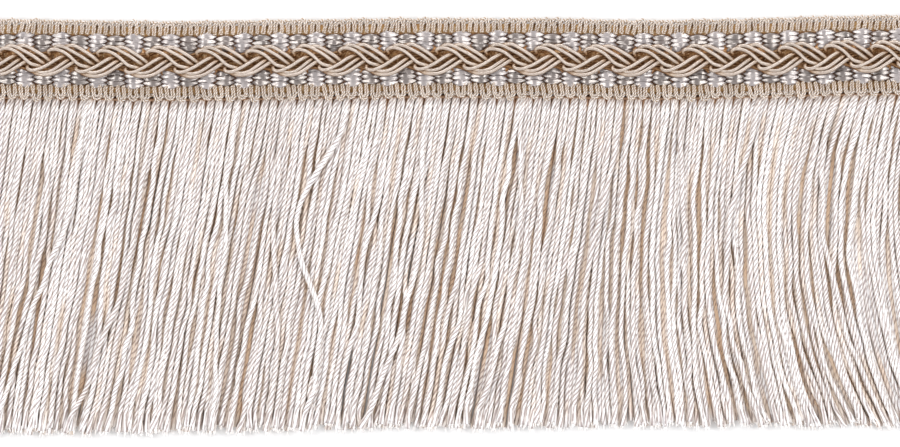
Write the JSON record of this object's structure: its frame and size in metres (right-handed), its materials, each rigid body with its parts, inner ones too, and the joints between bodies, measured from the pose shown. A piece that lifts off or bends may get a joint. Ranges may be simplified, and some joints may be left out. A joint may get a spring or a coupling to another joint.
{
  "type": "cut fringe trim",
  "caption": "Flat length of cut fringe: woven heading with a plait and looped gimp edges above a skirt of loose twisted cords.",
  "frame": {"origin": "middle of the heading's flat back face", "axes": "+X along the trim, +Y from the skirt towards the heading's top edge, +Z out of the face"},
  "size_m": [0.2471, 0.1043, 0.0055],
  "materials": {
    "weft": "silver and taupe satin floats, soft shine",
    "gimp": "beige crepe cord, crinkled and nearly matt",
    "plait": "old-gold satin-wrapped cord, soft shine",
    "cream": "cream twisted yarn with a slight lustre"
  },
  "bodies": {
    "root": {"heading_tape": "weft", "top_gimp": "gimp", "bottom_gimp": "gimp", "plait_strand_1": "plait", "plait_strand_2": "plait", "plait_strand_3": "plait", "cut_fringe": "cream"}
  },
  "joints": []
}
